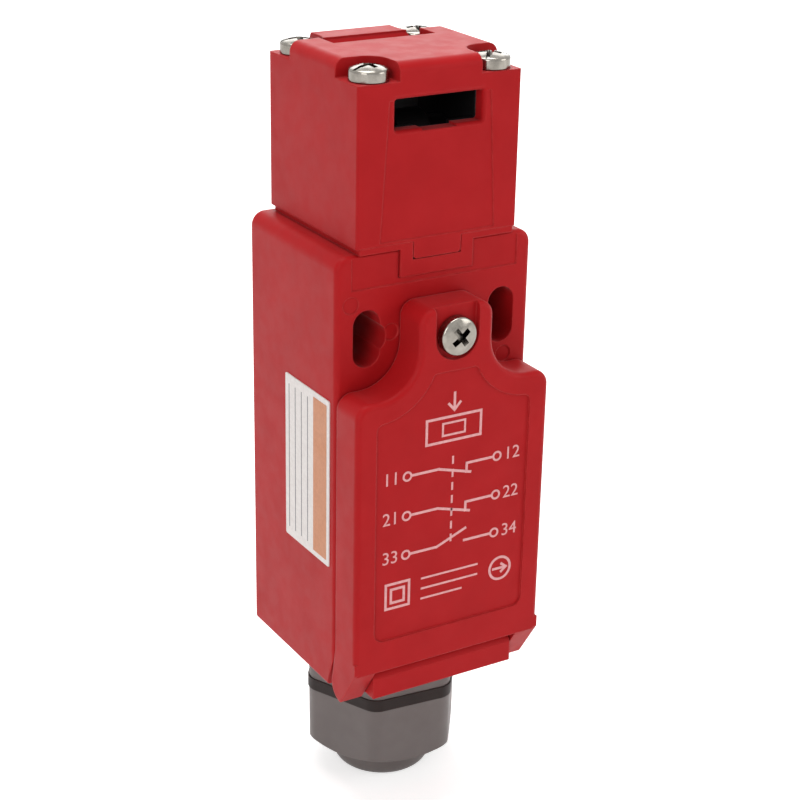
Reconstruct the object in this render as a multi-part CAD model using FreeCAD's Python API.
import FreeCAD, Part
import math
import os

# A compact plastic safety interlock switch worked by a separate tongue (actuator key).
# Frame: X to the right, Y from the front to the mounting surface behind, Z up, all in mm.
# The origin is on the mounting surface, midway between the two fixing slots.

V = FreeCAD.Vector
ALONG_X = V(1, 0, 0)
ALONG_Y = V(0, 1, 0)
ALONG_Z = V(0, 0, 1)

# ------------------------------------------------------------------ driving dimensions
# Housing
housing_width = 31.0
housing_depth = 25.3
housing_height = 65.3
housing_top_edge_r = 2.0
housing_front_edge_r = 0.8
housing_back_edge_r = 0.5
housing_bottom_corner_r = 0.6
housing_wall = 2.8
housing_back_wall = 2.2
housing_floor = 7.6
chamber_height = 36.0
chamber_corner_r = 2.5
# Fixing slots, for M4 screws at 20 to 22 mm centres
fixing_height = 53.4
slot_spacing = 21.6
slot_width = 4.2
slot_length = 8.2
slot_bulge_inset = 1.0
# Shallow marks of the mould on the front of the housing
mould_mark_depth = 0.15
mould_panel_width = 26.3
mould_panel_height = 4.8
ejector_mark_r = 1.2
ejector_mark_inset = 2.25
upper_mark_rise = 5.1
neck_mark_gap = 1.2
neck_mark_rise = 0.4
lower_mark_offset = 0.7
lower_mark_drop = 6.0
# Hinged terminal cover
cover_gap = 0.35
cover_thickness = 5.65
cover_front_wall = 2.2
cover_rim = 2.9
cover_hollow_corner_r = 2.0
cover_lower_edge = 5.05
cover_shoulder_share = 0.23
neck_width_share = 0.374
neck_tab_gap = 3.2
neck_length = 11.9
neck_corner_share = 0.177
neck_fillet_share = 0.66
cover_front_edge_r = 0.8
panel_margin = 3.1
panel_depth = 0.3
panel_bottom_height = 9.8
panel_top_rise = 2.7
panel_bottom_corner_r = 1.6
panel_shoulder_r = 1.1
panel_top_corner_r = 0.7
cover_rib_height = 1.3
cover_rib_thickness = 1.0
# Hinge at the foot of the cover
hinge_axis_height = 1.57
hinge_axis_forward = 1.77
knuckle_r = 2.45
ear_width = 3.55
ear_gap = 0.25
ear_slope_top = 5.4
ear_slope_clearance = 1.45
ear_heel = 0.5
ear_root = 2.0
trunnion_r = 0.85
trunnion_length = 2.5
trunnion_clearance = 0.08
lug_r = 3.33
lug_front_forward = 2.95
corner_cut_height = 6.0
corner_cut_depth = 2.15
# Cover gasket
gasket_width = 1.2
gasket_inset = 0.45
gasket_corner_r = 2.4
gasket_groove_depth = 0.9
gasket_groove_clearance = 0.05
gasket_contact_gap = 0.04
# Cover screw and its brass insert
cover_screw_drop = 4.2
cover_screw_head_r = 2.85
cover_screw_head_height = 2.0
cover_screw_shank_r = 1.6
cover_screw_pocket_r = 3.45
cover_screw_pocket_depth = 0.95
cover_screw_engagement = 4.0
cover_screw_hole_clearance = 0.2
insert_bore_r = 2.0
insert_r = 2.6
insert_length = 4.2
insert_setback = 0.2
insert_end_gap = 0.3
insert_waist_depth = 0.35
# Actuating head
head_width = 25.2
head_depth = 24.9
head_overhang = 0.2
head_bottom_height = 66.2
ledge_height = 88.0
head_top_height = 90.5
head_top_edge_r = 1.5
head_upright_edge_r = 0.35
head_cavity_width = 16.0
head_front_wall = 2.2
head_back_wall = 2.4
head_roof = 3.4
notch_width = 6.3
notch_depth = 6.1
notch_inner_r = 2.9
head_tab_width = 7.46
head_tab_drop = 2.45
head_tab_depth = 1.7
head_tab_corner_r = 0.5
# Tongue slots
tongue_slot_width = 13.6
tongue_slot_height = 4.15
tongue_slot_floor = 81.5
tongue_slot_corner_r = 0.35
front_mouth_r = 0.85
lip_notch_width = 5.3
lip_notch_depth = 0.3
face_panel_top_width = 15.7
face_panel_bottom_width = 18.0
face_panel_depth = 0.12
face_panel_foot = 0.4
top_slot_front = 10.7
top_mouth_width = 16.1
top_mouth_length = 5.5
top_mouth_depth = 2.3
rear_strip_drop = 0.4
rear_strip_bevel = 0.3
# Head screws, M3, and the bosses that they pass through
head_screw_inset_x = 3.2
head_screw_inset_y = 2.9
head_screw_head_r = 2.72
head_screw_head_height = 2.1
head_screw_shank_r = 1.35
head_screw_hole_r = 1.55
head_screw_boss_r = 2.25
head_screw_thread_hole_r = 1.45
head_screw_engagement = 6.0
thread_hole_spare = 0.7
# Head base plate
base_plate_inset = 0.5
base_tab_width = 11.5
base_tab_drop = 3.9
base_tab_depth = 2.0
key_clearance = 0.1
base_boss_r = 4.5
base_boss_drop = 5.0
base_boss_clearance = 0.1
head_seal_ring_r = 0.65
head_seal_clearance = 0.03
# Plunger
plunger_r = 2.0
plunger_clearance = 0.05
plunger_hole_clearance = 0.3
plunger_tip_r = 1.2
plunger_shoulder_gap = 3.4
plunger_chamfer = 0.4
plunger_travel = 3.0
plunger_channel_r = 3.2
plunger_seal_length = 1.6
plunger_seal_r = 3.5
# Cam wheel in the head
cam_r = 7.3
cam_thickness = 5.0
cam_axis_drop = 4.25
cam_axis_back = 15.1
cam_root_r = 4.7
cam_hub_r = 3.1
cam_side_clearance = 0.15
cam_turn_angle = 60.0
cam_track_clearance = 0.15
axle_r = 1.5
axle_clearance = 0.05
front_pocket_from = 96.0
front_pocket_to = 144.0
top_pocket_from = 4.0
top_pocket_to = 50.0
# Black guide cage that carries the cam wheel
cage_clearance = 0.1
cage_end_wall = 0.9
cam_slit_clearance = 0.3
axle_seat_clearance = 0.02
# Contact block
block_side_gap = 0.6
block_front = 20.0
block_bottom_height = 12.4
block_top_gap = 0.3
block_wall = 1.6
block_roof = 0.8
block_front_chamfer = 0.8
contact_pitch = 9.4
top_row_height = 37.6
contact_chamber_width = 14.6
contact_chamber_depth = 5.6
strip_thickness = 0.8
strip_width = 3.0
strip_inner_x = 3.4
contact_touch_gap = 0.1
bridge_length = 13.0
bridge_width = 2.2
bridge_thickness = 0.6
bridge_corner_r = 0.5
contact_spring_length = 1.6
contact_spring_r = 0.8
contact_spring_wire = 0.32
contact_spring_turns = 2
carrier_width = 4.6
carrier_depth = 4.4
carrier_web = 1.2
carrier_head = 0.4
carrier_window_gap = 0.1
terminal_x = 8.6
terminal_screw_r = 2.6
terminal_screw_height = 1.7
terminal_shank_r = 1.35
terminal_shank_length = 6.0
terminal_recess = 1.4
terminal_clearance = 0.25
shank_clearance = 0.15
clamp_size = 5.2
clamp_thickness = 0.8
return_spring_r = 1.75
return_spring_wire = 0.5
return_spring_turns = 4
# Cable gland, M16 thread
gland_axis_back = 12.7
gland_thread_r = 8.0
gland_thread_clearance = 0.05
gland_thread_length = 7.6
gland_flats = 21.6
gland_corner_r = 2.6
gland_turn = -5.5
gland_hex_height = 5.6
gland_collar_height = 1.9
gland_collar_proud = 0.15
gland_collar_clearance = 0.03
gland_nut_height = 9.1
gland_nut_taper = 0.15
gland_nut_chamfer = 1.6
gland_nut_shoulder = 1.9
gland_neck_r = 7.5
gland_neck_height = 5.4
gland_neck_edge_r = 0.9
gland_outlet_r = 5.4
gland_nut_thread_r = 9.0
gland_nut_clearance = 0.06
gland_body_bore_r = 5.3
gland_spigot_length = 5.6
gland_cage_r = 8.2
gland_cage_wall = 1.1
gland_cage_slots = 8
gland_seal_r = 6.9
gland_seal_bore_r = 3.6
gland_seal_clearance = 0.2
gland_ring_r = 0.7
gland_end_wall = 2.2
gland_finger_clearance = 0.25
gland_finger_slot = 0.7
gland_finger_root = 0.9
gland_seat_step = 1.4
gland_seat_gap = 0.1
gland_bore_clearance = 0.05
gland_spigot_gap = 0.6
gland_tip_lip = 0.9
gland_seal_end_gap = 0.3
gland_edge_ease = 0.2
# Sticker on the left side
label_width = 12.95
label_height = 25.2
label_front_margin = 1.5
label_bottom_height = 19.4
label_corner_r = 0.3
label_thickness = 0.15

# ------------------------------------------------------------------ places worked out from them


def up(height):
    """Z of a height above the housing's underside."""
    return height - fixing_height


BIG = 100.0
half_width = housing_width / 2
front = -housing_depth
cover_back = front - cover_gap
cover_front = cover_back - cover_thickness
hinge_y = front - hinge_axis_forward
hinge_z = up(hinge_axis_height)
neck_width = housing_width * neck_width_share
neck_top_height = housing_height - base_tab_drop - neck_tab_gap
cover_shoulder_height = neck_top_height - neck_length
shoulder_run = half_width - neck_width / 2
cover_shoulder_r = shoulder_run * cover_shoulder_share
neck_fillet_r = shoulder_run * neck_fillet_share
neck_corner_r = neck_length * neck_corner_share
panel_top_height = cover_shoulder_height + panel_top_rise
cover_screw_height = neck_top_height - cover_screw_drop
ear_inner_x = half_width - ear_width
lug_half_width = ear_inner_x - ear_gap
head_front = front - head_overhang
head_back = head_front + head_depth
screw_x = head_width / 2 - head_screw_inset_x
screw_rows = (head_front + head_screw_inset_y, head_back - head_screw_inset_y)
cam_y = -cam_axis_back
cam_z = up(tongue_slot_floor - cam_axis_drop)
cavity_front = head_front + head_front_wall
cavity_back = head_back - head_back_wall
cavity_top = up(head_top_height) - head_roof
slot_top_height = tongue_slot_floor + tongue_slot_height
slot_back = -top_slot_front + tongue_slot_height
tip_drop = cam_r + plunger_tip_r + cam_track_clearance
tip_z = cam_z - tip_drop
chamber_half_width = half_width - housing_wall
chamber_top_height = housing_floor + chamber_height
row_heights = [top_row_height - row * contact_pitch for row in range(3)]
block_width = 2 * (chamber_half_width - block_side_gap)
gland_y = -gland_axis_back


# ------------------------------------------------------------------ small drawing helpers


def box(x, y, z):
    """A block from its (low, high) pairs along X, Y and Z."""
    return Part.makeBox(x[1] - x[0], y[1] - y[0], z[1] - z[0], V(x[0], y[0], z[0]))


def rod(r, start, axis, length):
    """A round bar from a start point along an axis."""
    return Part.makeCylinder(r, length, V(*start), axis)


def outline(corners, place):
    """A flat face through corners (u, v, radius), with place(u, v) giving each point's position."""
    count = len(corners)
    arcs = []
    for i, (u, v, r) in enumerate(corners):
        point = V(u, v, 0)
        before = V(*corners[i - 1][:2], 0) - point
        after = V(*corners[(i + 1) % count][:2], 0) - point
        before.normalize()
        after.normalize()
        half = before.getAngle(after) / 2
        if r == 0:
            arcs.append((point, None, point))
            continue
        reach = r / math.tan(half)
        middle = before + after
        middle.normalize()
        crown = point + middle * (r / math.sin(half) - r)
        arcs.append((point + before * reach, crown, point + after * reach))
    edges = []
    for i, (start, middle, end) in enumerate(arcs):
        previous_end = arcs[i - 1][2]
        if previous_end.distanceToPoint(start) > 1e-6:
            ends = [place(p.x, p.y) for p in (previous_end, start)]
            edges.append(Part.LineSegment(*ends).toShape())
        if middle is not None:
            points = [place(p.x, p.y) for p in (start, middle, end)]
            edges.append(Part.Arc(*points).toShape())
    return Part.Face(Part.Wire(Part.__sortEdges__(edges)))


def front_outline(corners, y):
    """An outline drawn on X and Z in the plane of one Y."""
    return outline(corners, lambda u, v: V(u, y, v))


def side_outline(corners, x):
    """An outline drawn on Y and Z in the plane of one X."""
    return outline(corners, lambda u, v: V(x, u, v))


def plan_outline(corners, z):
    """An outline drawn on X and Y at one Z."""
    return outline(corners, lambda u, v: V(u, v, z))


def rectangle(u, v, r):
    """Corners of a rounded rectangle from its (low, high) pairs."""
    return [(u[0], v[0], r), (u[1], v[0], r), (u[1], v[1], r), (u[0], v[1], r)]


def edges_where(shape, test):
    """The shape's edges whose middle point passes a test."""
    return [e for e in shape.Edges if test(e.valueAt((e.FirstParameter + e.LastParameter) / 2), e)]


def mirrored(shape):
    """The same shape on the other side of the middle plane."""
    return shape.mirror(V(0, 0, 0), ALONG_X)


def revolve(points, centre, axis):
    """A solid turned about an axis from (radius, distance along the axis) points."""
    side = ALONG_X if axis.x == 0 else ALONG_Y
    wire = Part.makePolygon([centre + side * r + axis * d for r, d in points + points[:1]])
    return Part.Face(wire).revolve(centre, axis, 360)


def coil(r, wire_r, start, length, turns):
    """A coil spring standing on its start point along Z, its wire drawn with eight flats."""
    height = length - 2 * wire_r
    helix = Part.makeHelix(height / turns, height, r)
    angles = [k * math.pi / 4 for k in range(8)]
    corners = [V(r + wire_r * math.cos(a), 0, wire_r * math.sin(a)) for a in angles]
    section = Part.makePolygon(corners + corners[:1])
    spring = Part.Wire(helix.Edges).makePipeShell([section], True, True)
    spring.translate(V(*start) + V(0, 0, wire_r))
    return spring


def pan_screw(centre, axis, head_r, head_height, shank_r, shank_length, slotted=False):
    """A pan-head screw with a cross recess: centre is under the head, axis points out of the head."""
    side = ALONG_X if axis.x == 0 else ALONG_Y
    across = axis.cross(side)
    top = centre + axis * head_height
    head = Part.makeCylinder(head_r, head_height, centre, axis)
    rim = edges_where(head, lambda p, e: abs((p - top).dot(axis)) < 1e-6 and e.Length > head_r)
    head = head.makeFillet(head_height * 0.35, rim)
    screw = head.fuse(Part.makeCylinder(shank_r, shank_length, centre - axis * shank_length, axis))
    blade = head_r * 0.55
    web = head_r * 0.16
    cuts = [(blade, web, head_height * 0.6), (web, blade, head_height * 0.6)]
    if slotted:
        cuts.append((head_r * 1.1, web, head_height * 0.3))
    for a, b, depth in cuts:
        corner = top + axis - side * a - across * b
        wing = Part.makePolygon([corner, corner + side * 2 * a, corner + side * 2 * a + across * 2 * b,
                                 corner + across * 2 * b, corner])
        screw = screw.cut(Part.Face(wing).extrude(axis * -(depth + 1)))
    return screw.removeSplitter()


def hexagon(flats, corner_r, turn, z, centre_y):
    """A hexagonal face with rounded corners, one corner at the angle turn from +X."""
    r = flats / 2 / math.cos(math.pi / 6)
    corners = []
    for k in range(6):
        angle = math.radians(turn + 60 * k)
        corners.append((r * math.cos(angle), centre_y + r * math.sin(angle), corner_r))
    return plan_outline(corners, z)


# ------------------------------------------------------------------ housing


def fixing_slot():
    """One upright slot, with a round bulge towards the middle for the narrower hole spacing."""
    x = slot_spacing / 2
    r = slot_width / 2
    half = slot_length / 2
    depth = ALONG_Y * (housing_depth + 2)
    upright = front_outline(rectangle((x - r, x + r), (-half, half), r * 0.999), front - 1).extrude(depth)
    bulge = rod(r, (x - slot_bulge_inset, front - 1, 0), ALONG_Y, housing_depth + 2)
    return upright.fuse(bulge)


def housing():
    """The moulded housing: a box with a wiring chamber open at the front and a hinge lug at its foot."""
    b = housing_bottom_corner_r
    t = housing_top_edge_r
    low, high = up(0), up(housing_height)
    profile = [(-half_width, low, b), (half_width, low, b), (half_width, high, t), (-half_width, high, t)]
    body = front_outline(profile, front).extrude(ALONG_Y * housing_depth)
    body = body.makeFillet(housing_front_edge_r, edges_where(body, lambda p, e: abs(p.y - front) < 1e-3))
    body = body.makeFillet(housing_back_edge_r, edges_where(body, lambda p, e: abs(p.y) < 1e-3))

    # The foot of the front wall is cut back for the cover's knuckles, and the hinge lug fills the middle.
    cut = [(front - 1, up(-1), 0), (front + corner_cut_depth, up(-1), 0), (front + corner_cut_depth, low, 0),
           (front, up(corner_cut_height), 0), (front - 1, up(corner_cut_height), 0)]
    body = body.cut(side_outline(cut, -BIG / 2).extrude(ALONG_X * BIG))
    body = body.fuse(hinge_lug())

    # Wiring chamber, mould marks, fixing slots, bores.
    chamber = rectangle((-chamber_half_width, chamber_half_width),
                        (up(housing_floor), up(chamber_top_height)), chamber_corner_r)
    chamber_depth = housing_depth - housing_back_wall
    body = body.cut(front_outline(chamber, front - 1).extrude(ALONG_Y * (chamber_depth + 1)))
    for slot in (fixing_slot(), mirrored(fixing_slot())):
        body = body.cut(slot)
    body = body.cut(mould_marks())
    body = body.cut(head_seat_cuts())
    body = body.cut(rod(gland_thread_r, (0, gland_y, up(-1)), ALONG_Z, housing_floor + 2))
    insert_pocket = insert_length + insert_setback + insert_end_gap
    body = body.cut(rod(insert_r, (0, front, up(cover_screw_height)), ALONG_Y, insert_pocket))
    return body.removeSplitter()


def hinge_lug():
    """The lug between the cover's ears, rounded about the hinge axis, with a trunnion at each end."""
    low = up(0)
    back = front + corner_cut_depth + 0.2
    nose = hinge_y - lug_front_forward
    chin = hinge_z - math.sqrt(lug_r ** 2 - lug_front_forward ** 2)
    top = hinge_z + lug_r
    round_part = rod(lug_r, (-lug_half_width, hinge_y, hinge_z), ALONG_X, 2 * lug_half_width)
    block = box((-lug_half_width, lug_half_width), (hinge_y, back), (low, top))
    foot = box((-lug_half_width, lug_half_width), (nose, back), (max(chin, low), hinge_z))
    keep = box((-lug_half_width, lug_half_width), (nose, back), (low, top))
    lug = round_part.fuse(block).fuse(foot).common(keep)
    lug = lug.removeSplitter()
    for side in (-1, 1):
        x = side * lug_half_width
        lug = lug.fuse(rod(trunnion_r, (x, hinge_y, hinge_z), ALONG_X * side, trunnion_length))
    return lug


def mould_marks():
    """Shallow witness marks of the mould: a panel under the head and three ejector rounds."""
    half = mould_panel_width / 2
    top = up(housing_height)
    marks = box((-half, half), (front - 1, front + mould_mark_depth), (top - mould_panel_height, top + 1))
    beside_neck = neck_width / 2 + neck_mark_gap
    spots = [(-half_width + ejector_mark_inset, upper_mark_rise), (beside_neck, neck_mark_rise),
             (-beside_neck, neck_mark_rise), (slot_spacing / 2 + lower_mark_offset, -lower_mark_drop)]
    for x, z in spots:
        spot = rod(ejector_mark_r, (x, front - 1, z), ALONG_Y, 1 + mould_mark_depth)
        marks = marks.fuse(spot)
    return marks


def head_seat_cuts():
    """What the housing's top loses to the head: the key notch, the plunger's bore and four threaded holes."""
    top = up(housing_height)
    half = base_tab_width / 2 + key_clearance
    notch = box((-half, half), (front - 1, head_front + base_tab_depth + key_clearance),
                (top - base_tab_drop - key_clearance, top + 1))
    cuts = notch
    cuts = cuts.fuse(rod(base_boss_r + base_boss_clearance, (0, cam_y, top - base_boss_drop - key_clearance),
                         ALONG_Z, base_boss_drop + 2))
    channel_bottom = up(chamber_top_height) - 1
    cuts = cuts.fuse(rod(plunger_channel_r, (0, cam_y, channel_bottom), ALONG_Z, top - channel_bottom))
    ring_seat = rod(base_boss_r + 2 * head_seal_ring_r, (0, cam_y, top - 2 * head_seal_ring_r), ALONG_Z, 3)
    cuts = cuts.fuse(ring_seat)
    depth = head_screw_engagement + thread_hole_spare
    for x in (-screw_x, screw_x):
        for y in screw_rows:
            cuts = cuts.fuse(rod(head_screw_thread_hole_r, (x, y, top - depth), ALONG_Z, depth + 1))
    return cuts


# ------------------------------------------------------------------ cover and its hinge


def cover_plate():
    """The cover's plate with its screw neck, above the hinge."""
    neck = neck_width / 2
    corners = [
        (-half_width, up(cover_lower_edge), 0),
        (-half_width, up(cover_shoulder_height), cover_shoulder_r),
        (-neck, up(cover_shoulder_height), neck_fillet_r),
        (-neck, up(neck_top_height), neck_corner_r),
        (neck, up(neck_top_height), neck_corner_r),
        (neck, up(cover_shoulder_height), neck_fillet_r),
        (half_width, up(cover_shoulder_height), cover_shoulder_r),
        (half_width, up(cover_lower_edge), 0),
    ]
    return front_outline(corners, cover_back).extrude(ALONG_Y * -cover_thickness)


def cover_ear(side):
    """One ear: a knuckle about the hinge axis, sloped at the front, with a blind bore for the trunnion."""
    inner = side * ear_inner_x
    outward = ALONG_X * side * ear_width
    high = up(cover_lower_edge) + ear_root
    heel = hinge_z - ear_heel
    # The back of the ear runs from the plate to the round of the knuckle, where it is a tangent.
    back_run = cover_back - hinge_y
    back_reach = math.hypot(back_run, high - hinge_z)
    lean = math.atan2(high - hinge_z, back_run) - math.acos(knuckle_r / back_reach)
    touch = V(0, hinge_y + knuckle_r * math.cos(lean), hinge_z + knuckle_r * math.sin(lean))
    blade = [(cover_back, high, 0), (touch.y, touch.z, 0), (hinge_y, heel, 0), (cover_front, heel, 0),
             (cover_front, high, 0)]
    ear = side_outline(blade, inner).extrude(outward)
    ear = ear.fuse(rod(knuckle_r, (inner, hinge_y, hinge_z), ALONG_X * side, ear_width))
    # The front slope passes the hinge axis at a set distance and meets the cover's face at its top.
    rise = up(ear_slope_top) - hinge_z
    run = hinge_y - cover_front
    reach = math.hypot(rise, run)
    slope = math.atan2(rise, run) + math.asin(ear_slope_clearance / reach)
    direction = V(0, math.cos(slope), -math.sin(slope))
    start = V(inner, cover_front, up(ear_slope_top))
    foot = start + direction * 2 * reach
    ahead = V(0, -reach, 0)
    wedge = Part.Face(Part.makePolygon([start, foot, foot + ahead * 3, start + ahead, start]))
    ear = ear.cut(wedge.extrude(outward))
    bore = rod(trunnion_r + trunnion_clearance, (inner, hinge_y, hinge_z), ALONG_X * side, trunnion_length)
    return ear.cut(bore)


def panel_recess():
    """The shallow panel in the cover's front, which follows its outline a few millimetres in."""
    half = half_width - panel_margin
    centre_x = neck_width / 2 + neck_fillet_r
    centre_z = up(cover_shoulder_height) + neck_fillet_r
    y = cover_front - 1
    depth = ALONG_Y * (1 + panel_depth)
    field = rectangle((-half, half), (up(panel_bottom_height), up(panel_top_height)), 0)
    tool = front_outline(field, y).extrude(depth)
    for side in (-1, 1):
        arc = rod(neck_fillet_r + panel_margin, (side * centre_x, y - 1, centre_z), ALONG_Y, 3 + panel_depth)
        tool = tool.cut(arc)
    bottom = edges_where(tool, lambda p, e: abs(p.z - up(panel_bottom_height)) < 1e-3
                         and e.Length < 2 + panel_depth and abs(abs(p.x) - half) < 1e-3)
    tool = tool.makeFillet(panel_bottom_corner_r, bottom)
    shoulders = edges_where(tool, lambda p, e: abs(abs(p.x) - half) < 0.02 and e.Length < 2 and
                            p.z > up(cover_shoulder_height) - 2 * panel_margin)
    tool = tool.makeFillet(panel_shoulder_r, shoulders)
    top = edges_where(tool, lambda p, e: abs(p.z - up(panel_top_height)) < 1e-3 and e.Length < 2)
    return tool.makeFillet(panel_top_corner_r, top)


def cover():
    """The hinged terminal cover: a shell with a rim for the gasket, two ears and a neck for its screw."""
    plate = cover_plate()
    plate = plate.makeFillet(cover_front_edge_r, edges_where(
        plate, lambda p, e: abs(p.y - cover_front) < 1e-3 and p.z > up(cover_lower_edge) + 0.1))
    body = plate.fuse(cover_ear(-1)).fuse(cover_ear(1)).removeSplitter()

    inner = half_width - cover_rim
    low, high = up(cover_lower_edge) + cover_rim, up(cover_shoulder_height) - cover_rim
    depth = cover_thickness - cover_front_wall
    hollow = front_outline(rectangle((-inner, inner), (low, high), cover_hollow_corner_r), cover_back + 1)
    body = body.cut(hollow.extrude(ALONG_Y * -(depth + 1)))
    floor = cover_back - depth
    for step in (1, 2):
        z = low + (high - low) * step / 3
        rib = box((-inner, inner), (floor, floor + cover_rib_height), (z, z + cover_rib_thickness))
        body = body.fuse(rib)

    body = body.cut(panel_recess())
    body = body.cut(gasket_ring(gasket_groove_clearance, cover_back + 1, cover_back - gasket_groove_depth))

    # Screw pocket, open at the top of the neck, and the screw's hole.
    z = up(cover_screw_height)
    pocket_floor = cover_front + cover_screw_pocket_depth
    r = cover_screw_pocket_r
    pocket = rod(r, (0, cover_front - 1, z), ALONG_Y, 1 + cover_screw_pocket_depth)
    channel = box((-r, r), (cover_front - 1, pocket_floor), (z, up(neck_top_height) + 1))
    body = body.cut(pocket.fuse(channel).removeSplitter())
    hole = rod(cover_screw_shank_r + cover_screw_hole_clearance, (0, cover_front - 1, z), ALONG_Y,
               cover_thickness + 2)
    return body.cut(hole).removeSplitter()


def gasket_ring(grow, y_back, y_front):
    """The gasket's ring round the chamber, widened by grow on both edges."""
    # The ring runs along the middle of the cover's rim, with the inset between it and the hollow.
    reach = gasket_inset + gasket_width / 2 - cover_rim
    middle = half_width + reach
    low = up(cover_lower_edge) - reach
    high = up(cover_shoulder_height) + reach
    out = gasket_width / 2 + grow
    edges = rectangle((-middle - out, middle + out), (low - out, high + out), gasket_corner_r)
    outer = front_outline(edges, y_back)
    inner = front_outline(rectangle((-middle + out, middle - out), (low + out, high - out),
                                    gasket_corner_r - gasket_width), y_back)
    length = ALONG_Y * (y_front - y_back)
    return outer.extrude(length).cut(inner.extrude(length))


def cover_gasket():
    """The rubber gasket in the cover's groove, a hair off the housing's rim."""
    return gasket_ring(0, front - gasket_contact_gap, cover_back - gasket_groove_depth)


def cover_screw():
    """The cover's captive screw."""
    seat = cover_front + cover_screw_pocket_depth
    length = cover_back - seat + cover_screw_engagement
    return pan_screw(V(0, seat, up(cover_screw_height)), ALONG_Y * -1, cover_screw_head_r,
                     cover_screw_head_height, cover_screw_shank_r, length)


def cover_screw_insert():
    """The brass insert that takes the cover screw."""
    start = (0, front + insert_setback, up(cover_screw_height))
    insert = rod(insert_r, start, ALONG_Y, insert_length)
    waist = rod(insert_r + 1, (0, start[1] + insert_length * 0.42, start[2]), ALONG_Y, insert_length * 0.16)
    waist = waist.cut(rod(insert_r - insert_waist_depth, (0, start[1], start[2]), ALONG_Y, insert_length))
    return insert.cut(waist).cut(rod(insert_bore_r, start, ALONG_Y, insert_length))


# ------------------------------------------------------------------ head


def head_screw_holes(r, low, high):
    """Four upright holes at the head screws, from low to high."""
    holes = [rod(r, (x, y, low), ALONG_Z, high - low) for x in (-screw_x, screw_x) for y in screw_rows]
    return holes[0].multiFuse(holes[1:])


def front_tongue_passage():
    """The slot that the tongue enters from the front, with its rounded mouth and a notch in its lower lip."""
    half = tongue_slot_width / 2
    low, high = up(tongue_slot_floor), up(slot_top_height)
    slot = rectangle((-half, half), (low, high), tongue_slot_corner_r)
    passage = front_outline(slot, head_front - 1).extrude(ALONG_Y * (head_front_wall + 2))
    # The mouth's void is what a wall plate loses when the slot's rim in it is rounded.
    margin = 2 * front_mouth_r
    wall = box((-half - margin, half + margin), (head_front, cavity_front), (low - margin, high + margin))
    rounded = wall.cut(passage)
    rim = edges_where(rounded, lambda p, e: abs(p.y - head_front) < 1e-3 and abs(p.x) < half + 1e-3
                      and low - 1e-3 < p.z < high + 1e-3)
    passage = passage.fuse(wall.cut(rounded.makeFillet(front_mouth_r, rim)))
    notch = lip_notch_width / 2
    return passage.fuse(box((-notch, notch), (head_front, cavity_front), (low - lip_notch_depth, low + 0.1)))


def top_tongue_passage():
    """The slot that the tongue enters from above, behind the cam wheel, with its wider mouth."""
    half = tongue_slot_width / 2
    top = up(head_top_height)
    passage = box((-half, half), (-top_slot_front, slot_back), (cavity_top - 1, top + 1))
    mouth_back = -top_slot_front + top_mouth_length
    wide = top_mouth_width / 2
    mouth_floor = top - top_mouth_depth
    strip_top = top - rear_strip_drop
    profile = [(-top_slot_front, top + 1, 0), (mouth_back, top + 1, 0),
               (mouth_back, strip_top - rear_strip_bevel, 0), (slot_back, mouth_floor, 0),
               (-top_slot_front, mouth_floor, 0)]
    passage = passage.fuse(side_outline(profile, -wide).extrude(ALONG_X * 2 * wide))
    strip = head_width / 2 - notch_width + notch_inner_r
    return passage.fuse(box((-strip, strip), (mouth_back - 0.1, head_back + 1), (strip_top, top + 1)))


def head_shell():
    """The head's moulded shell, with a recessed corner for each screw and two tongue slots."""
    half = head_width / 2
    low, top = up(head_bottom_height), up(head_top_height)
    shell = box((-half, half), (head_front, head_back), (low, top))
    shell = shell.makeFillet(head_top_edge_r, edges_where(shell, lambda p, e: abs(p.z - top) < 1e-3))
    shell = shell.makeFillet(head_upright_edge_r, edges_where(
        shell, lambda p, e: e.Length > 15 and abs(abs(p.x) - half) < 1e-3 and abs(p.z - (low + top) / 2) < 3))
    tab = head_tab_width / 2
    foot = low - head_tab_drop
    r = head_tab_corner_r
    key = [(-tab, low + 1, 0), (-tab, foot, r), (tab, foot, r), (tab, low + 1, 0)]
    shell = shell.fuse(front_outline(key, head_front).extrude(ALONG_Y * head_tab_depth))

    # Corner recesses, each with a rounded inner corner beside the screw's head.
    for x_side in (-1, 1):
        for y_edge, y_side in ((head_front, 1), (head_back, -1)):
            x_in = x_side * (half - notch_width)
            y_in = y_edge + y_side * notch_depth
            corners = [(x_side * (half + 1), y_edge - y_side, 0), (x_side * (half + 1), y_in, 0),
                       (x_in, y_in, notch_inner_r), (x_in, y_edge - y_side, 0)]
            shell = shell.cut(plan_outline(corners, up(ledge_height)).extrude(V(0, 0, 5)))

    # Cavity for the cam cage, with bosses left round the screws.
    c = head_cavity_width / 2
    cavity = box((-c, c), (cavity_front, cavity_back), (low - head_tab_drop - 1, cavity_top))
    cavity = cavity.cut(head_screw_holes(head_screw_boss_r, low - head_tab_drop - 2, cavity_top + 1))
    shell = shell.cut(cavity)
    shell = shell.cut(front_tongue_passage()).cut(top_tongue_passage())
    shell = shell.cut(head_screw_holes(head_screw_hole_r, low - 1, top + 1))

    # Shallow tapered panel on the front face.
    face_top = up(slot_top_height)
    panel = [(-face_panel_top_width / 2, face_top, 0), (face_panel_top_width / 2, face_top, 0),
             (face_panel_bottom_width / 2, low + face_panel_foot, 0),
             (-face_panel_bottom_width / 2, low + face_panel_foot, 0)]
    shell = shell.cut(front_outline(panel, head_front - 1).extrude(ALONG_Y * (1 + face_panel_depth)))
    return shell.removeSplitter()


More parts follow.
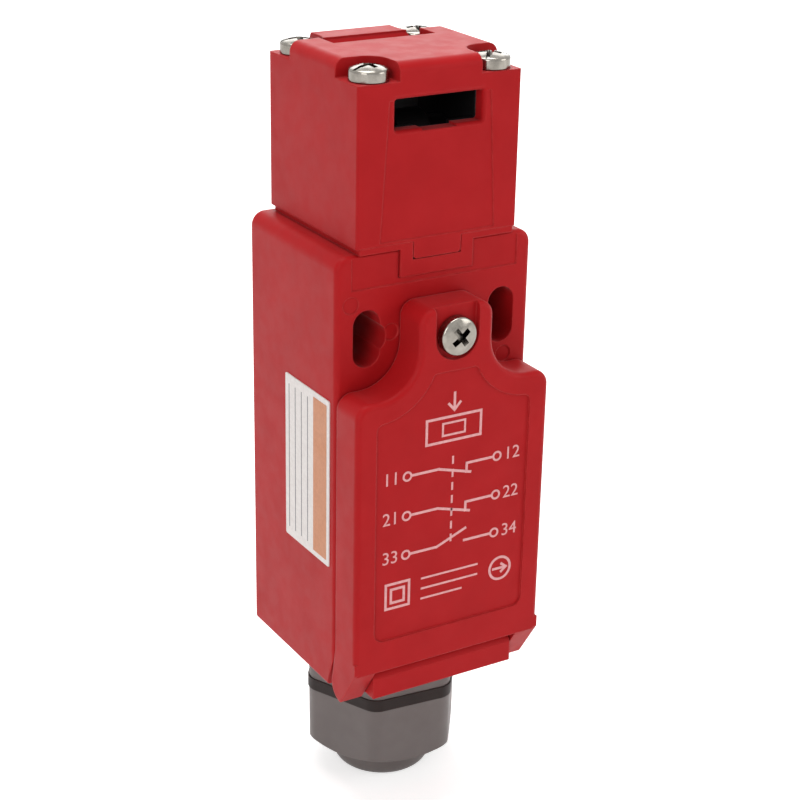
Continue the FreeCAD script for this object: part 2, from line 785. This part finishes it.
def head_base():
    """The plate under the head: a key tab down the front and a boss that guides the plunger."""
    half = head_width / 2 - base_plate_inset
    low, top = up(housing_height), up(head_bottom_height)
    plate = box((-half, half), (head_front, head_back - base_plate_inset), (low, top))
    tab = base_tab_width / 2
    plate = plate.fuse(box((-tab, tab), (head_front, head_front + base_tab_depth),
                           (low - base_tab_drop, low + 0.1)))
    plate = plate.fuse(rod(base_boss_r, (0, cam_y, low - base_boss_drop), ALONG_Z, base_boss_drop + 0.1))
    notch = head_tab_width / 2 + key_clearance
    key = box((-notch, notch), (head_front - 1, head_front + head_tab_depth + key_clearance),
              (top - head_tab_drop - key_clearance, top + 1))
    bore = rod(plunger_r + plunger_clearance, (0, cam_y, low - base_boss_drop - 1), ALONG_Z, BIG / 4)
    seal_seat = rod(plunger_seal_r, (0, cam_y, low - base_boss_drop - 1), ALONG_Z, plunger_seal_length + 1)
    plate = plate.cut(key).cut(bore).cut(seal_seat)
    return plate.cut(head_screw_holes(head_screw_hole_r, low - 1, top + 1)).removeSplitter()


def head_seal():
    """The round sealing ring between the base plate and the housing."""
    r = base_boss_r + head_seal_ring_r
    centre = V(0, cam_y, up(housing_height) - head_seal_ring_r)
    return Part.makeTorus(r, head_seal_ring_r - head_seal_clearance, centre, ALONG_Z)


def head_screws():
    """Four long pan-head screws that hold the head and its base plate to the housing."""
    length = up(ledge_height) - up(housing_height) + head_screw_engagement
    return Part.makeCompound([
        pan_screw(V(x, y, up(ledge_height)), ALONG_Z, head_screw_head_r, head_screw_head_height,
                  head_screw_shank_r, length, slotted=True)
        for x in (-screw_x, screw_x) for y in screw_rows])


def tongue_guide():
    """The black cage in the head: it guides the tongue and carries the cam wheel's axle."""
    gap = cage_clearance
    half = head_cavity_width / 2 - gap
    y0, y1 = cavity_front + gap, cavity_back - gap
    low, top = up(head_bottom_height), cavity_top - gap
    cage = box((-half, half), (y0, y1), (low, top))
    cage = cage.cut(head_screw_holes(head_screw_boss_r + gap, low - 1, top + 1))
    inner = tongue_slot_width / 2
    cage = cage.cut(box((-inner, inner), (y0 + cage_end_wall, y1 - cage_end_wall),
                        (low - 1, up(slot_top_height))))
    cage = cage.cut(box((-inner, inner), (y0 - 1, y0 + 2), (up(tongue_slot_floor), up(slot_top_height))))
    slit = cam_thickness / 2 + cam_slit_clearance
    cage = cage.cut(box((-slit, slit), (y0 - 1, y0 + 2), (low - 1, up(slot_top_height))))
    cage = cage.cut(box((-inner, inner), (-top_slot_front, slot_back), (up(slot_top_height) - 1, top + 1)))
    return cage.cut(rod(axle_r + axle_seat_clearance, (-half - 1, cam_y, cam_z), ALONG_X, 2 * half + 2))


def cam_axle():
    """The steel axle of the cam wheel, held in the cage's side walls."""
    half = head_cavity_width / 2 - cage_clearance
    return rod(axle_r, (-half, cam_y, cam_z), ALONG_X, 2 * half)


def polar(r, degrees, x):
    """A point at a radius and an angle about the cam's axis: 0 points back and 90 points up."""
    angle = math.radians(degrees)
    return V(x, cam_y + r * math.cos(angle), cam_z + r * math.sin(angle))


def cam_pocket(start, end, x):
    """A pocket in the wheel's rim that the tongue's cross-bar pushes on."""
    floor = Part.Arc(polar(cam_root_r, start, x), polar(cam_root_r, (start + end) / 2, x),
                     polar(cam_root_r, end, x)).toShape()
    out = cam_r + 2
    lead = 10
    rim = [polar(cam_root_r, end, x), polar(out, end + lead, x), polar(out * 1.3, (start + end) / 2, x),
           polar(out, start - 2, x), polar(cam_root_r, start, x)]
    return Part.Face(Part.Wire([floor] + Part.makePolygon(rim).Edges))


def cam_track(x):
    """The rim's working curve: an even spiral that lets the plunger rise in step with the wheel's turn."""
    reach = plunger_tip_r + cam_track_clearance
    rise_per_degree = plunger_travel / cam_turn_angle
    count = 12
    floor = []
    for i in range(count + 1):
        turned = cam_turn_angle * i / count
        r = tip_drop - rise_per_degree * turned
        drift = math.atan2(math.degrees(rise_per_degree), r)
        angle = 270 + turned
        centre = polar(r, angle, x)
        inward = polar(reach, angle + 180 + math.degrees(drift), x) - V(x, cam_y, cam_z)
        floor.append(centre + inward)
    curve = Part.BSplineCurve()
    curve.interpolate(floor)
    last = 270 + cam_turn_angle
    side = polar(reach, last + 90, x) - V(x, cam_y, cam_z)
    end_centre = polar(tip_drop - plunger_travel, last, x)
    half_way = side + (floor[-1] - end_centre)
    half_way.normalize()
    round_end = Part.Arc(floor[-1], end_centre + half_way * reach, end_centre + side).toShape()
    out = cam_r + 3
    rim = [end_centre + side, polar(out, last, x) + side, polar(out, (270 + last) / 2, x), polar(out, 262, x),
           polar(cam_r + 0.4, 262, x), floor[0]]
    return Part.Face(Part.Wire([curve.toShape(), round_end] + Part.makePolygon(rim).Edges))


def cam_wheel():
    """The cam wheel: two pockets for the tongue, a spiral track for the plunger and a hub across the cage."""
    half = cam_thickness / 2
    wheel = rod(cam_r, (-half, cam_y, cam_z), ALONG_X, cam_thickness)
    across = ALONG_X * (cam_thickness + 2)
    wheel = wheel.cut(cam_pocket(front_pocket_from, front_pocket_to, -half - 1).extrude(across))
    wheel = wheel.cut(cam_pocket(top_pocket_from, top_pocket_to, -half - 1).extrude(across))
    wheel = wheel.cut(cam_track(-half - 1).extrude(across))
    hub_half = tongue_slot_width / 2 - cam_side_clearance
    wheel = wheel.fuse(rod(cam_hub_r, (-hub_half, cam_y, cam_z), ALONG_X, 2 * hub_half))
    return wheel.cut(rod(axle_r + axle_clearance, (-hub_half - 1, cam_y, cam_z), ALONG_X, 2 * hub_half + 2))


# ------------------------------------------------------------------ plunger and contacts


def carrier_span():
    """Low and high Z of the contact carrier at rest."""
    low = up(row_heights[2]) + strip_thickness / 2 - carrier_web
    high = up(row_heights[0]) + strip_thickness / 2 + carrier_head
    return low, high


def bridge_bottom(row):
    """Z of the underside of a bridge at rest: the two upper rows are open, the lowest is closed."""
    z = up(row_heights[row])
    if row < 2:
        return z - strip_thickness / 2 - contact_touch_gap - plunger_travel - bridge_thickness
    return z + strip_thickness / 2 + contact_touch_gap


def spring_bottom(row):
    """Z of the underside of a contact spring: under a bridge that closes up, over one that closes down."""
    if row < 2:
        return bridge_bottom(row) - contact_spring_length
    return bridge_bottom(row) + bridge_thickness


def plunger():
    """The plunger: a round-tipped follower under the cam wheel, on a rod that reaches the contact carrier."""
    shoulder = tip_z + plunger_tip_r - plunger_shoulder_gap
    bottom = carrier_span()[1]
    body = rod(plunger_r, (0, cam_y, bottom), ALONG_Z, shoulder - bottom)
    body = body.makeChamfer(plunger_chamfer, edges_where(body, lambda p, e: abs(p.z - shoulder) < 1e-3))
    body = body.fuse(rod(plunger_tip_r, (0, cam_y, shoulder - 0.5), ALONG_Z, tip_z - shoulder + 0.5))
    return body.fuse(Part.makeSphere(plunger_tip_r, V(0, cam_y, tip_z))).removeSplitter()


def plunger_seal():
    """The rubber ring that seals the plunger where it enters the housing."""
    low = up(housing_height) - base_boss_drop
    seal = rod(plunger_seal_r - 0.03, (0, cam_y, low), ALONG_Z, plunger_seal_length)
    return seal.cut(rod(plunger_r + plunger_clearance, (0, cam_y, low - 1), ALONG_Z, plunger_seal_length + 2))


def contact_carrier():
    """The slide under the plunger, with a window for each bridge and its spring."""
    low, high = carrier_span()
    half_x, half_y = carrier_width / 2, carrier_depth / 2
    body = box((-half_x, half_x), (cam_y - half_y, cam_y + half_y), (low, high))
    bar = bridge_width / 2 + carrier_window_gap
    for row in range(3):
        z0 = min(bridge_bottom(row), spring_bottom(row))
        z1 = max(bridge_bottom(row) + bridge_thickness, spring_bottom(row) + contact_spring_length)
        body = body.cut(box((-half_x - 1, half_x + 1), (cam_y - bar, cam_y + bar), (z0, z1 + 0.02)))
    return body


def contact_bridges():
    """Three bridges that join the fixed contacts in pairs, each rounded at its ends."""
    bars = []
    half = bridge_length / 2
    side = bridge_width / 2
    for row in range(3):
        z = bridge_bottom(row)
        bar = box((-half, half), (cam_y - side, cam_y + side), (z, z + bridge_thickness))
        upright = edges_where(bar, lambda p, e: abs(e.Length - bridge_thickness) < 1e-3)
        bars.append(bar.makeFillet(bridge_corner_r, upright))
    return Part.makeCompound(bars)


def contact_springs():
    """The spring of each bridge."""
    return Part.makeCompound([
        coil(contact_spring_r, contact_spring_wire / 2, (0, cam_y, spring_bottom(row)),
             contact_spring_length, contact_spring_turns)
        for row in range(3)])


def return_spring():
    """The spring that lifts the carrier when the wheel lets the plunger rise."""
    floor = up(block_bottom_height) + block_wall
    return coil(return_spring_r, return_spring_wire / 2, (0, cam_y, floor), carrier_span()[0] - floor,
                return_spring_turns)


def contact_block():
    """The moulded contact block: a chamber for the carrier and recesses for six terminals."""
    half = block_width / 2
    low, high = up(block_bottom_height), up(chamber_top_height) - block_top_gap
    back = -housing_back_wall
    block = box((-half, half), (-block_front, back), (low, high))
    block = block.makeFillet(chamber_corner_r, edges_where(
        block, lambda p, e: abs(p.z - high) < 1e-3 and abs(abs(p.x) - half) < 1e-3))
    face_rim = edges_where(block, lambda p, e: abs(p.y + block_front) < 1e-3)
    block = block.makeChamfer(block_front_chamfer, face_rim)
    chamber_half = contact_chamber_width / 2
    y = contact_chamber_depth / 2
    block = block.cut(box((-chamber_half, chamber_half), (cam_y - y, cam_y + y),
                          (low + block_wall, high - block_roof)))
    block = block.cut(rod(plunger_r + plunger_hole_clearance, (0, cam_y, high - 2), ALONG_Z, 4))
    for height in row_heights:
        for side in (-1, 1):
            x = side * terminal_x
            z = terminal_z(height)
            s = clamp_size / 2 + terminal_clearance
            recess_floor = -block_front + terminal_recess
            block = block.cut(box((x - s, x + s), (-block_front - 1, recess_floor), (z - s, z + s)))
            hole_depth = terminal_shank_length + thread_hole_spare
            hole_r = terminal_shank_r + shank_clearance
            block = block.cut(rod(hole_r, (x, -block_front, z), ALONG_Y, hole_depth))
            block = block.cut(fixed_contact(side, height))
    return block


def terminal_z(height):
    """Z of a row's terminal screws, which stand above the strip that runs back from them."""
    return up(height) + (clamp_size - strip_thickness) / 2


def fixed_contact(side, height):
    """One fixed contact: a pad under the terminal screw, bent back at its foot to the carrier."""
    z = up(height)
    t = strip_thickness / 2
    x0, x1 = strip_inner_x, terminal_x + strip_width / 2
    pad_back = -block_front + terminal_recess
    reach = box((x0, x1), (cam_y - strip_width / 2, cam_y + strip_width / 2), (z - t, z + t))
    arm = box((x1 - strip_width, x1), (pad_back - t, cam_y), (z - t, z + t))
    pad = box((terminal_x - clamp_size / 2, terminal_x + clamp_size / 2),
              (pad_back - strip_thickness, pad_back), (z - t, z - t + clamp_size))
    hole = rod(terminal_shank_r + shank_clearance, (terminal_x, -block_front, terminal_z(height)), ALONG_Y,
               terminal_recess + 0.1)
    strip = reach.fuse(arm).fuse(pad).cut(hole).removeSplitter()
    return strip if side > 0 else mirrored(strip)


def fixed_contacts():
    """The six fixed contacts."""
    return Part.makeCompound([fixed_contact(side, height) for height in row_heights for side in (-1, 1)])


def terminal_clamps():
    """The square washer under each terminal screw, open where the wire enters."""
    clamps = []
    y = -block_front + terminal_recess - strip_thickness - clamp_thickness
    s = clamp_size / 2
    for height in row_heights:
        for side in (-1, 1):
            x, z = side * terminal_x, terminal_z(height)
            plate = box((x - s, x + s), (y, y + clamp_thickness), (z - s, z + s))
            hole = rod(terminal_shank_r + shank_clearance, (x, y - 1, z), ALONG_Y, clamp_thickness + 2)
            clamps.append(plate.cut(hole))
    return Part.makeCompound(clamps)


def terminal_screws():
    """The six terminal screws."""
    y = -block_front + terminal_recess - strip_thickness - clamp_thickness
    return Part.makeCompound([
        pan_screw(V(side * terminal_x, y, terminal_z(height)), ALONG_Y * -1, terminal_screw_r,
                  terminal_screw_height, terminal_shank_r, terminal_shank_length, slotted=True)
        for height in row_heights for side in (-1, 1)])


# ------------------------------------------------------------------ cable gland

collar_bottom = up(0) - gland_hex_height - gland_collar_height
nut_bottom = collar_bottom - gland_nut_height
nut_end = nut_bottom - gland_neck_height
cage_top = collar_bottom - gland_seat_step - gland_seat_gap
finger_shoulder = collar_bottom - gland_spigot_length - gland_spigot_gap
finger_tip = nut_end + gland_end_wall
finger_tip_r = gland_outlet_r + gland_tip_lip


def gland_ring_cut(r, z0, z1):
    """A round plug on the gland's axis."""
    return rod(r, (0, gland_y, z0), ALONG_Z, z1 - z0)


def gland_body():
    """The gland's body: a hexagon under the housing, a thread up into it and a spigot for the nut below."""
    body = hexagon(gland_flats, gland_corner_r, gland_turn, up(0) - gland_hex_height, gland_y)
    body = body.extrude(V(0, 0, gland_hex_height))
    thread_top = up(0) + gland_thread_length
    body = body.fuse(gland_ring_cut(gland_thread_r - gland_thread_clearance, up(0) - 0.1, thread_top))
    spigot_low = collar_bottom - gland_spigot_length
    body = body.fuse(gland_ring_cut(gland_nut_thread_r, spigot_low, up(0) - gland_hex_height + 0.1))
    body = body.cut(gland_ring_cut(gland_body_bore_r, spigot_low - 1, thread_top + 1))
    body = body.cut(gland_ring_cut(gland_cage_r + gland_bore_clearance, spigot_low - 1,
                                   collar_bottom - gland_seat_step))
    groove = gland_ring_cut(gland_thread_r + 1.2 * gland_ring_r, up(0) - 1.6 * gland_ring_r, up(0) + 0.1)
    groove = groove.cut(gland_ring_cut(gland_thread_r - gland_thread_clearance, up(-3), up(3)))
    return body.cut(groove).removeSplitter()


def gland_o_ring():
    """The ring that seals the gland against the housing's underside."""
    r = gland_thread_r + 0.6 * gland_ring_r
    return Part.makeTorus(r, gland_ring_r * 0.55, V(0, gland_y, up(0) - 0.8 * gland_ring_r), ALONG_Z)


def gland_collar():
    """The black hexagonal ring between the gland's body and its nut."""
    ring = hexagon(gland_flats + 2 * gland_collar_proud, gland_corner_r, gland_turn, collar_bottom, gland_y)
    ring = ring.extrude(V(0, 0, gland_collar_height))
    bore = gland_nut_thread_r + gland_collar_clearance
    return ring.cut(gland_ring_cut(bore, collar_bottom - 1, collar_bottom + gland_collar_height + 1))


def gland_clamp_ring():
    """The ring of fingers that the nut closes round the seal."""
    inside = gland_cage_r - gland_cage_wall
    profile = [(inside, cage_top), (gland_cage_r, cage_top), (gland_cage_r, finger_shoulder),
               (finger_tip_r, finger_tip), (finger_tip_r - gland_cage_wall, finger_tip),
               (inside, finger_shoulder)]
    cage = revolve(profile, V(0, gland_y, 0), ALONG_Z)
    for k in range(gland_cage_slots // 2):
        half_slot = gland_finger_slot / 2
        reach = (finger_tip - 1, cage_top - gland_finger_root)
        blade = box((-BIG / 4, BIG / 4), (-half_slot, half_slot), reach)
        blade.rotate(V(0, 0, 0), ALONG_Z, 360 / gland_cage_slots * k)
        blade.translate(V(0, gland_y, 0))
        cage = cage.cut(blade)
    return cage


def gland_seal():
    """The rubber sleeve that closes on the cable."""
    top = cage_top - gland_seat_gap
    low = finger_tip + gland_seal_end_gap
    profile = [(gland_seal_bore_r, top), (gland_seal_r, top), (gland_seal_r, finger_shoulder),
               (finger_tip_r - gland_cage_wall - gland_seal_clearance, low), (gland_seal_bore_r, low)]
    return revolve(profile, V(0, gland_y, 0), ALONG_Z)


def gland_nut():
    """The domed clamping nut: a hexagon with rounded corners that ends in a round neck."""
    top_face = hexagon(gland_flats, gland_corner_r, gland_turn, collar_bottom, gland_y)
    low_face = hexagon(gland_flats - 2 * gland_nut_taper, gland_corner_r, gland_turn, nut_bottom, gland_y)
    nut = Part.makeLoft([top_face.OuterWire, low_face.OuterWire], True, True)
    # The lower corners are turned off on a cone.
    corner = gland_flats / 2 / math.cos(math.pi / 6)
    flat = gland_flats / 2 - gland_nut_taper
    ease = gland_edge_ease
    cone = revolve([(0, nut_bottom), (flat - ease, nut_bottom),
                    (corner + 2 * ease, nut_bottom + gland_nut_chamfer + 2 * ease),
                    (corner + 2 * ease, collar_bottom), (0, collar_bottom)], V(0, gland_y, 0), ALONG_Z)
    nut = nut.common(cone)
    shoulder = gland_nut_shoulder
    end = nut_end
    r = gland_neck_r
    inside = flat - ease - 0.05
    neck = [(r + 2 * ease, nut_bottom - shoulder), (r, nut_bottom - shoulder - 2 * ease), (r, end), (0, end)]
    dome = revolve([(0, nut_bottom + 0.5), (inside, nut_bottom + 0.5), (inside, nut_bottom), *neck],
                   V(0, gland_y, 0), ALONG_Z)
    dome = dome.makeFillet(gland_neck_edge_r, edges_where(
        dome, lambda p, e: abs(p.z - end) < 1e-3 and e.Length > math.pi * r))
    nut = nut.fuse(dome)
    # The thread's bore, the cone that closes the fingers and the cable outlet.
    bore = gland_nut_thread_r + gland_nut_clearance
    gap = gland_finger_clearance
    step = finger_shoulder - gap
    seat = finger_tip - gap
    hollow = revolve([(0, collar_bottom + 1), (bore, collar_bottom + 1), (bore, step),
                      (gland_cage_r + gap, step), (finger_tip_r + gap, seat), (gland_outlet_r, seat),
                      (gland_outlet_r, end - 1), (0, end - 1)], V(0, gland_y, 0), ALONG_Z)
    return nut.cut(hollow).removeSplitter()


# ------------------------------------------------------------------ label


def side_label():
    """The write-on sticker on the left side of the housing."""
    y0 = front + label_front_margin
    z0 = up(label_bottom_height)
    corners = rectangle((y0, y0 + label_width), (z0, z0 + label_height), label_corner_r)
    return side_outline(corners, -half_width).extrude(ALONG_X * -label_thickness)


# ------------------------------------------------------------------ one STEP for each node

PIECES = {
    "housing": housing,
    "cover": cover,
    "cover_gasket": cover_gasket,
    "cover_screw": cover_screw,
    "cover_screw_insert": cover_screw_insert,
    "head_shell": head_shell,
    "head_base": head_base,
    "head_seal": head_seal,
    "head_screws": head_screws,
    "tongue_guide": tongue_guide,
    "cam_axle": cam_axle,
    "cam_wheel": cam_wheel,
    "plunger": plunger,
    "plunger_seal": plunger_seal,
    "contact_carrier": contact_carrier,
    "contact_bridges": contact_bridges,
    "contact_springs": contact_springs,
    "return_spring": return_spring,
    "contact_block": contact_block,
    "fixed_contacts": fixed_contacts,
    "terminal_clamps": terminal_clamps,
    "terminal_screws": terminal_screws,
    "gland_body": gland_body,
    "gland_o_ring": gland_o_ring,
    "gland_collar": gland_collar,
    "gland_clamp_ring": gland_clamp_ring,
    "gland_seal": gland_seal,
    "gland_nut": gland_nut,
    "side_label": side_label,
}

os.makedirs("parts", exist_ok=True)
for node, build in PIECES.items():
    shape = build()
    shape.exportStep(f"parts/{node}.step")
    print(f"{node}: {len(shape.Solids)} solid(s), {shape.Volume:.1f} mm3, valid {shape.isValid()}")
